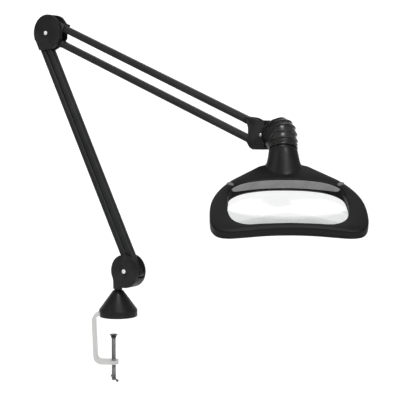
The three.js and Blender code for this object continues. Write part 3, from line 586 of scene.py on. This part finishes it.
def bellows():
    # In the plane of the bend, along the arm and square to it on the inner side: the middle of the
    # sleeve, its turn in degrees and its reach in the plane and beside it.
    stations = [(-23.7, 0, 0, 14.3, 14.2), (-20.4, -3.2, 17, 16.4, 16.2), (-14, -9.2, 40, 17.7, 17.6),
                (-7.6, -9.6, 60, 18, 18), (-3, -5.6, 72, 18.2, 18), (-0.7, 0, 77, 18.6, 18),
                (1.3, 7, 78, 18.7, 18), (2.9, 13.3, 78, 18.7, 18), (4.1, 19.3, 78, 18.7, 18.2)]
    inner = [(-23.7, 14.3), (-22.3, 14.5), (-21.2, 14.4), (-20.0, 14.6), (-18.9, 15.2), (-17.8, 16.4),
             (-16.8, 18.2), (-15.6, 20.6), (-14.2, 23.2)]
    lips = [0.04, 0.11, 0.19, 0.28, 0.385, 0.5, 0.6725, 0.831, 0.916, 1.0]
    fold, wall, around, rows = 1.9, 1.4, 96, 280
    inward = (head_way - arm_way * head_way.dot(arm_way)).normalized()
    bm = bmesh.new()

    def station(share):
        place = share * (len(stations) - 1)
        at = min(int(place), len(stations) - 2)
        u = place - at
        rows_near = [stations[min(max(at + k, 0), len(stations) - 1)] for k in (-1, 0, 1, 2)]
        return [(p1 * 2 + (p2 - p0) * u + (p0 * 2 - p1 * 5 + p2 * 4 - p3) * u * u
                 + (p1 * 3 - p0 - p2 * 3 + p3) * u ** 3) / 2 for p0, p1, p2, p3 in zip(*rows_near)]

    def flare(t):
        ends = [0.0] + lips
        for first, last in zip(ends, ends[1:]):
            if t <= last + 1e-9:
                share = (t - first) / (last - first)
                size = min(1, (last - first) / 0.11)
                if share < 0.82:
                    rise = share / 0.82
                    return size * rise ** 1.6
                return size * (math.cos((share - 0.82) / 0.18 * math.pi) / 2 + 0.5)
        return 0

    rings = []
    for row in range(rows + 1):
        t = row / rows
        middle_u, middle_w, turn, reach, side = station(t)
        grow = fold * (flare(t) - 0.5) if 0 < t < 1 else 0
        out_u, out_w = math.sin(math.radians(turn)), -math.cos(math.radians(turn))
        hollow = through(inner, t)
        pull_u, pull_w = hollow.x - (middle_u - reach * out_u), hollow.y - (middle_w - reach * out_w)
        ring = []
        for i in range(around):
            a = 2 * math.pi * i / around
            share = min(1, max(0, (-math.cos(a) - 0.1) / 0.9))
            share = share * share * (3 - 2 * share)
            u = middle_u + (reach + grow) * math.cos(a) * out_u + pull_u * share
            w = middle_w + (reach + grow) * math.cos(a) * out_w + pull_w * share
            spot = arm_way * u + inward * w + side_way * ((side + grow) * math.sin(a))
            ring.append(bm.verts.new(bend_at + spot * MM))
        rings.append(ring)
    for first, second in zip(rings, rings[1:]):
        for i in range(around):
            j = (i + 1) % around
            bm.faces.new((first[i], first[j], second[j], second[i]))
    for ring in (rings[0], rings[-1]):
        centre = sum((v.co for v in ring), Vector()) / around
        lip = [bm.verts.new(centre + (v.co - centre) * (1 - wall * MM / (v.co - centre).length)) for v in ring]
        for i in range(around):
            j = (i + 1) % around
            bm.faces.new((ring[i], ring[j], lip[j], lip[i]))
    sleeve = shown("bellows_sleeve", bm, bellows_rubber, None, ("neck_boot",), crease=60)
    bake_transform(sleeve)


bellows()


# Magnifier shell. One deep moulding with a wide rounded window, thick and flared at the neck and
# thin at the front, with soft edges all round. The lens drops into a seat from below.
press_way = Vector(pivot["switch_left_press"]["axis"])
neck_drop, shell_depth = 42.6, 25.0
shell_up = -press_way
shell_ahead = Vector((1, 0, 0)).cross(shell_up) * -1
if shell_ahead.y > 0:
    shell_ahead = -shell_ahead
shell_foot = bend_at + head_way * neck_drop * MM - shell_up * shell_depth * MM
shell_place = Matrix((
    (-1, shell_ahead.x, shell_up.x, shell_foot.x),
    (0, shell_ahead.y, shell_up.y, shell_foot.y),
    (0, shell_ahead.z, shell_up.z, shell_foot.z),
    (0, 0, 0, 1)))
RIM = [(0, -23.5), (16, -17), (24, -4), (31.5, 0), (39, 7), (55, 22), (70.5, 37.5), (85, 60), (93.5, 85),
       (95.5, 117), (93, 135), (86, 146.5), (74, 150), (56, 148), (28, 143.5), (0, 142)]
WINDOW = [(0, 33), (30, 35), (56, 43.5), (70, 58), (73.5, 80), (73.5, 105), (67, 125), (54, 133.5),
          (30, 132.5), (0, 131)]
AROUND = 176


def outline(half, count=AROUND):
    """A smooth closed loop through the points and their mirror images, evenly spaced."""
    points = [Vector(p) for p in half] + [Vector((-x, v)) for x, v in reversed(half[1:-1])]
    dense, total = [], len(points)
    for i in range(total):
        p = [points[(i + k - 1) % total] for k in range(4)]
        t = [0.0]
        for k in range(3):
            t.append(t[-1] + (p[k + 1] - p[k]).length ** 0.5)
        for step in range(30):
            u = t[1] + (t[2] - t[1]) * step / 30
            a = [p[k] * ((t[k + 1] - u) / (t[k + 1] - t[k]))
                 + p[k + 1] * ((u - t[k]) / (t[k + 1] - t[k])) for k in range(3)]
            b = [a[k] * ((t[k + 2] - u) / (t[k + 2] - t[k]))
                 + a[k + 1] * ((u - t[k]) / (t[k + 2] - t[k])) for k in range(2)]
            dense.append(b[0] * ((t[2] - u) / (t[2] - t[1])) + b[1] * ((u - t[1]) / (t[2] - t[1])))
    lengths = [0.0]
    for i in range(len(dense)):
        lengths.append(lengths[-1] + (dense[(i + 1) % len(dense)] - dense[i]).length)
    spaced, at = [], 0
    for i in range(count):
        goal = lengths[-1] * i / count
        while lengths[at + 1] < goal:
            at += 1
        share = (goal - lengths[at]) / (lengths[at + 1] - lengths[at])
        spaced.append(dense[at].lerp(dense[(at + 1) % len(dense)], share))
    return spaced


def moved_out(loop, distance):
    """The loop pushed outwards by a distance, square to itself."""
    out = []
    for i, point in enumerate(loop):
        along = loop[(i + 1) % len(loop)] - loop[i - 1]
        out.append(point + Vector((along.y, -along.x)).normalized() * distance)
    return out


def top_of_shell(v):
    height = shell_depth - (v - 2) * 0.0957
    return height - 0.011 * (2 - v) ** 2 if v < 2 else height


def skin(bm, rows, close=False):
    made = [[bm.verts.new(shell_place @ (Vector(p) * MM)) for p in row] for row in rows]
    pairs = list(zip(made, made[1:])) + ([(made[-1], made[0])] if close else [])
    for first, second in pairs:
        for i in range(len(first)):
            j = (i + 1) % len(first)
            bm.faces.new((first[i], first[j], second[j], second[i]))
    return made


rim_loop, window_loop = outline(RIM), outline(WINDOW)
SEAT, FOOT = 8.5, 2.8
LENS_LIP = 4.0
BUTTON_SIDE, BUTTON_BACK, BUTTON_TURN = 69.5, 45.5, 42
LIGHT_SIDE, LIGHT_MIDDLE = 84.2, 106
shell_moulding = coated("shell_moulding", (0.0065, 0.0065, 0.007), (0.05, 0.05, 0.052), 0.42,
                        grain=750, depth=0.03, specular=0.16)


def button_place(side):
    """Where a push button stands in the shell, and how it is turned."""
    middle = Matrix.Translation((side * BUTTON_SIDE * MM, BUTTON_BACK * MM, 0))
    return middle @ Matrix.Rotation(-side * math.radians(BUTTON_TURN), 4, "Z")


def magnifier_shell():
    outer_round, inner_round, crown = 2.6, 1.6, 0.9
    rows = [[(p.x, p.y, FOOT) for p in moved_out(rim_loop, -0.5)],
            [(p.x, p.y, FOOT + 0.5) for p in rim_loop]]
    rows.append([(p.x, p.y, top_of_shell(p.y) - outer_round - 0.3) for p in rim_loop])
    for step in range(7):
        angle = math.radians(90 * step / 6)
        loop = moved_out(rim_loop, -outer_round * (1 - math.cos(angle)))
        rows.append([(p.x, p.y, top_of_shell(p.y) - outer_round * (1 - math.sin(angle))) for p in loop])
    edge, lip = moved_out(rim_loop, -outer_round), moved_out(window_loop, inner_round)
    for step in range(1, 9):
        share = step / 9
        rows.append([(*(a.lerp(b, share)), top_of_shell(a.lerp(b, share).y) + crown * 4 * share * (1 - share))
                     for a, b in zip(edge, lip)])
    for step in range(6):
        angle = math.radians(90 * step / 5)
        loop = moved_out(window_loop, inner_round * (1 - math.sin(angle)))
        rows.append([(p.x, p.y, top_of_shell(p.y) - inner_round * (1 - math.cos(angle))) for p in loop])
    rows.append([(p.x, p.y, SEAT + 0.3) for p in window_loop])
    rows.append([(p.x, p.y, SEAT) for p in moved_out(window_loop, 0.3)])
    rows.append([(p.x, p.y, SEAT) for p in moved_out(window_loop, LENS_LIP + 0.4)])
    rows.append([(p.x, p.y, FOOT) for p in moved_out(window_loop, LENS_LIP + 0.4)])
    bm = bmesh.new()
    skin(bm, rows, close=True)
    shell = shown("magnifier_shell", bm, shell_moulding, "head", ("head_shell",), crease=40)
    tools = []
    for side in (1, -1):
        well = revolve([(0, 9), (3.7, 9), (3.7, 40), (0, 40)], 40)
        shape = button_place(side)
        bmesh.ops.transform(well, matrix=shell_place @ shape @ Matrix.Diagonal((1.46, 1, 1, 1)),
                            verts=well.verts)
        tools.append(well)
        bay = bmesh.new()
        bmesh.ops.create_cube(bay, size=1)
        middle = Matrix.Translation((side * LIGHT_SIDE * MM, LIGHT_MIDDLE * MM, 5.4 * MM))
        bmesh.ops.transform(bay, matrix=shell_place @ middle
                            @ Matrix.Diagonal((8.2 * MM, 49.2 * MM, 10.8 * MM, 1)), verts=bay.verts)
        tools.append(bay)
    cut_away(shell, *tools)


magnifier_shell()


# Neck cone. Moulded in one with the shell: it starts round under the bellows' lip, pulls in a
# little and then flares out into the shell's top.
def neck_cone():
    tilt = math.radians(44.8)
    line = Vector((0, math.cos(tilt), -math.sin(tilt)))
    square = Vector((0, math.sin(tilt), math.cos(tilt)))
    start = Vector((0, 0, shell_depth)) + line * (20.3 - neck_drop)
    around, steps = 96, 22
    rows = []

    def curve(angle, share):
        out = Vector((math.cos(angle), 0, 0)) + square * math.sin(angle)
        flat = Vector((math.cos(angle) * 24.0, 1.2 + math.sin(angle) * 22.0, 0))
        flat.z = top_of_shell(flat.y) - 0.25
        outward = Vector((math.cos(angle), math.sin(angle), -0.09)).normalized()
        a = start + out * 18.2
        b = a + line * 8 + out * 1.9
        d = flat
        c = d - outward * 3.0 + Vector((0, 0, 2.8))
        s = 1 - share
        return a * s ** 3 + b * 3 * s * s * share + c * 3 * s * share * share + d * share ** 3

    angles = [2 * math.pi * i / around for i in range(around)]
    rows.append([start + (Vector((math.cos(a), 0, 0)) + square * math.sin(a)) * 8 for a in angles])
    rows.append([start + (Vector((math.cos(a), 0, 0)) + square * math.sin(a)) * 17.5 for a in angles])
    rows.append([start + line * 0.2 + (Vector((math.cos(a), 0, 0)) + square * math.sin(a)) * 18.0
                 for a in angles])
    for step in range(1, steps + 1):
        rows.append([curve(a, (step / steps) ** 0.9) for a in angles])
    rows.append([curve(a, 1) + Vector((0, 0, -4)) for a in angles])
    bm = bmesh.new()
    made = skin(bm, rows)
    bm.faces.new(made[0])
    bm.faces.new(made[-1])
    shown("neck_cone", bm, black_moulding, "head", crease=50)


neck_cone()


# Rear wall strip. A thin strip of satin grey on the window's rear wall, which runs out thin at both
# shoulders. Its grey is painted light: the lit rear wall is made lighter than the dark side walls.
# Painted light: this grey stands for the light falling on the window's rear wall.
rear_wall_painted_light = coated("rear_wall_painted_light", (0.31, 0.31, 0.31), (0.3, 0.3, 0.3), 0.34, grain=1500, depth=0.05,
                    specular=0.5, wear=0.3, smear=0.2)


def rear_wall_light_strip():
    count, thick, half_turn = len(window_loop), 0.5, 0.172
    spread = int(count * half_turn)
    bm = bmesh.new()
    rings = []
    for step in range(-spread, spread + 1):
        p = window_loop[step % count]
        inward = moved_out(window_loop, -thick)[step % count]
        share = abs(step) / spread
        taper = math.sqrt(max(0.0, 1 - share ** 6))
        low, high = SEAT + 0.5, top_of_shell(p.y) - 1.7
        low, high = high - (high - low) * max(taper, 0.04), high
        deep = p.lerp(inward, max(taper, 0.1))
        corners = [(p.x, p.y, low), (deep.x, deep.y, low + 0.2), (deep.x, deep.y, high - 0.2), (p.x, p.y, high)]
        rings.append([bm.verts.new(shell_place @ (Vector(c) * MM)) for c in corners])
    for first, second in zip(rings, rings[1:]):
        for i in range(4):
            j = (i + 1) % 4
            bm.faces.new((first[i], first[j], second[j], second[i]))
    bm.faces.new(rings[0])
    bm.faces.new(rings[-1])
    # The painted light strip, on the rear wall only.
    shown("rear_wall_light_strip", bm, rear_wall_painted_light, "head", crease=50)


rear_wall_light_strip()


# Lower cover. A flat moulding that closes the shell from below and holds the lens in its seat,
# with a long slot under each side for the light.
def lower_cover():
    thick, rounding = 2.5, 0.9
    rows = [[(p.x, p.y, thick) for p in moved_out(window_loop, 0.2)],
            [(p.x, p.y, thick) for p in moved_out(rim_loop, -0.6)],
            [(p.x, p.y, thick - 0.4) for p in moved_out(rim_loop, -0.2)]]
    for step in range(5):
        angle = math.radians(90 * step / 4)
        loop = moved_out(rim_loop, -0.2 - rounding * (1 - math.cos(angle)))
        rows.append([(p.x, p.y, rounding * (1 - math.sin(angle))) for p in loop])
    rows.append([(p.x, p.y, 0) for p in moved_out(window_loop, 0.9)])
    rows.append([(p.x, p.y, 0.5) for p in moved_out(window_loop, 0.3)])
    bm = bmesh.new()
    skin(bm, rows, close=True)
    cover = shown("lower_cover", bm, shell_moulding, "head", ("head_floor",), crease=40)
    slots = []
    for side in (1, -1):
        gap = bmesh.new()
        bmesh.ops.create_cube(gap, size=1)
        middle = Matrix.Translation((side * LIGHT_SIDE * MM, LIGHT_MIDDLE * MM, 1.2 * MM))
        bmesh.ops.transform(gap, matrix=shell_place @ middle
                            @ Matrix.Diagonal((7.6 * MM, 48.6 * MM, 6 * MM, 1)), verts=gap.verts)
        slots.append(gap)
    cut_away(cover, *slots)


lower_cover()


# Lens. A large two-sided magnifying lens of clear glass, ground to a gentle dome, with a narrow
# black gasket round its edge. The grey tint along its front is painted refraction: grey painted into the glass
# colour where the lens bends the light.
LENS_MIDDLE = 82


def lens():
    edge_low, edge_thick, dome = 3.4, 4.3, 3.5
    centre = Vector((0, LENS_MIDDLE))
    loop = moved_out(window_loop, LENS_LIP)
    rings = 22
    top, bottom = [], []
    for ring in range(1, rings + 1):
        share = ring / rings
        flat = [centre.lerp(p, share) for p in loop]
        rise = 1 - share * share
        top.append([(p.x, p.y, edge_low + edge_thick + dome * rise) for p in flat])
        bottom.append([(p.x, p.y, edge_low - 0.35 * rise) for p in flat])
    bm = bmesh.new()
    made = skin(bm, top + bottom[::-1])
    for row, height in ((made[0], edge_low + edge_thick + dome), (made[-1], edge_low - 0.35)):
        middle = bm.verts.new(shell_place @ (Vector((0, LENS_MIDDLE, height)) * MM))
        for i in range(len(row)):
            bm.faces.new((row[i], row[(i + 1) % len(row)], middle))
    # Painted refraction: beyond an oval round the lens's middle, towards its front edge, the glass colour is
    # painted grey.
    painted_refraction = bm.verts.layers.float_color.new("painted_refraction")
    inverse = shell_place.inverted()
    clear_width, clear_depth, clear_middle = 89, 52, 60
    for vert in bm.verts:
        spot = inverse @ vert.co / MM
        from_middle = math.hypot(spot.x / clear_width, (spot.y - clear_middle) / clear_depth)
        share = min(1, max(0, (from_middle - 0.975) / 0.05))
        vert[painted_refraction] = (share, share, share, 1)
    glass = bpy.data.materials.new("lens_glass")
    glass.use_nodes = True
    nodes, link = glass.node_tree.nodes, glass.node_tree.links.new
    shader = nodes["Principled BSDF"]
    shader.inputs["Transmission Weight"].default_value = 1.0
    shader.inputs["IOR"].default_value = 1.5
    place = nodes.new("ShaderNodeTexCoord")
    handled = nodes.new("ShaderNodeGroup")
    handled.node_tree = HANDLED
    zone = nodes.new("ShaderNodeAttribute")
    zone.attribute_name = "painted_refraction"
    # Glass colour: clear inside the oval, painted refraction grey outside it.
    tone = nodes.new("ShaderNodeMix")
    tone.data_type = "RGBA"
    tone.inputs["A"].default_value = (0.985, 0.99, 0.99, 1)
    tone.inputs["B"].default_value = (0.66, 0.67, 0.67, 1)
    link(zone.outputs["Fac"], tone.inputs["Factor"])
    link(tone.outputs["Result"], handled.inputs["Color"])
    handled.inputs["Rubbed Color"].default_value = (0.95, 0.97, 0.97, 1)
    handled.inputs["Rubbed"].default_value = 0.0
    handled.inputs["Smear"].default_value = 0.006
    handled.inputs["Roughness"].default_value = 0.004
    link(place.outputs["Object"], handled.inputs["Vector"])
    link(handled.outputs["Color"], shader.inputs["Base Color"])
    link(handled.outputs["Roughness"], shader.inputs["Roughness"])
    shown("lens_ground", bm, glass, "head", ("lens",), crease=50)

    seal = [[(p.x, p.y, 8.05) for p in moved_out(window_loop, -0.7)],
            [(p.x, p.y, 8.3) for p in moved_out(window_loop, -0.4)],
            [(p.x, p.y, 8.46) for p in moved_out(window_loop, 0.4)],
            [(p.x, p.y, 8.46) for p in moved_out(window_loop, 3.6)],
            [(p.x, p.y, 8.05) for p in moved_out(window_loop, 3.6)]]
    bm = bmesh.new()
    skin(bm, seal, close=True)
    shown("lens_gasket", bm, black_rubber, "head", crease=50)


lens()


# Lights. A strip of small light chips on a white board above a ribbed clear diffuser, under each
# side of the frame.
board_white = coated("board_white", (0.80, 0.79, 0.73), (0.8, 0.79, 0.73), 0.5, grain=1200,
                     depth=0.01, smear=0.03)
diffuser_white = coated("diffuser_white", (0.86, 0.86, 0.84), (0.86, 0.86, 0.84), 0.55, grain=900,
                        depth=0.05, smear=0.02)
chip_yellow = coated("chip_yellow", (0.80, 0.62, 0.12), (0.8, 0.62, 0.12), 0.4, grain=1500,
                     depth=0.01, smear=0.02)
for word, side in (("left", 1), ("right", -1)):
    eased("light_board_" + word, 0.15, board_white)
    eased("diffuser_" + word, 0.3, diffuser_white)
    bm = bmesh.new()
    for number in range(8):
        chip = bmesh.ops.create_cube(bm, size=1)["verts"]
        spot = Vector((side * LIGHT_SIDE, LIGHT_MIDDLE - 21 + number * 6, 8.65)) * MM
        bmesh.ops.transform(bm, matrix=shell_place @ Matrix.Translation(spot)
                            @ Matrix.Diagonal((2.8 * MM, 3.5 * MM, 0.5 * MM, 1)), verts=chip)
    bmesh.ops.bevel(bm, geom=bm.edges[:], offset=0.15 * MM, segments=2, affect="EDGES")
    shown("light_chips_" + word, bm, chip_yellow, "head")


# Switch buttons. Two oval grey push buttons, one in each shoulder of the shell, that stand a
# little proud and spring back.
button_grey = coated("button_grey", (0.13, 0.13, 0.13), (0.2, 0.2, 0.2), 0.4, grain=1800,
                     depth=0.015, smear=0.05)
for word, side in (("left", 1), ("right", -1)):
    stands = top_of_shell(BUTTON_BACK) + 1.5
    half_width = 3.4
    profile = [(0, stands - 6), (half_width, stands - 6), (half_width, stands - 1.0)]
    for step in range(1, 6):
        angle = math.radians(90 * step / 5)
        profile.append((half_width - 0.9 * (1 - math.cos(angle)), stands - 1.0 + 0.8 * math.sin(angle)))
    profile += [(half_width * 0.4, stands + 0.05), (0, stands + 0.08)]
    bm = revolve(profile, 48)
    shape = button_place(side)
    bmesh.ops.transform(bm, matrix=shell_place @ shape @ Matrix.Diagonal((1.5, 1, 1, 1)), verts=bm.verts)
    shown("button_" + word, bm, button_grey, "switch_" + word, ("switch_" + word,))


# Stem bush. A nylon sleeve in the shell's neck that the stem turns in.
eased("stem_bush", 0.3, nylon)
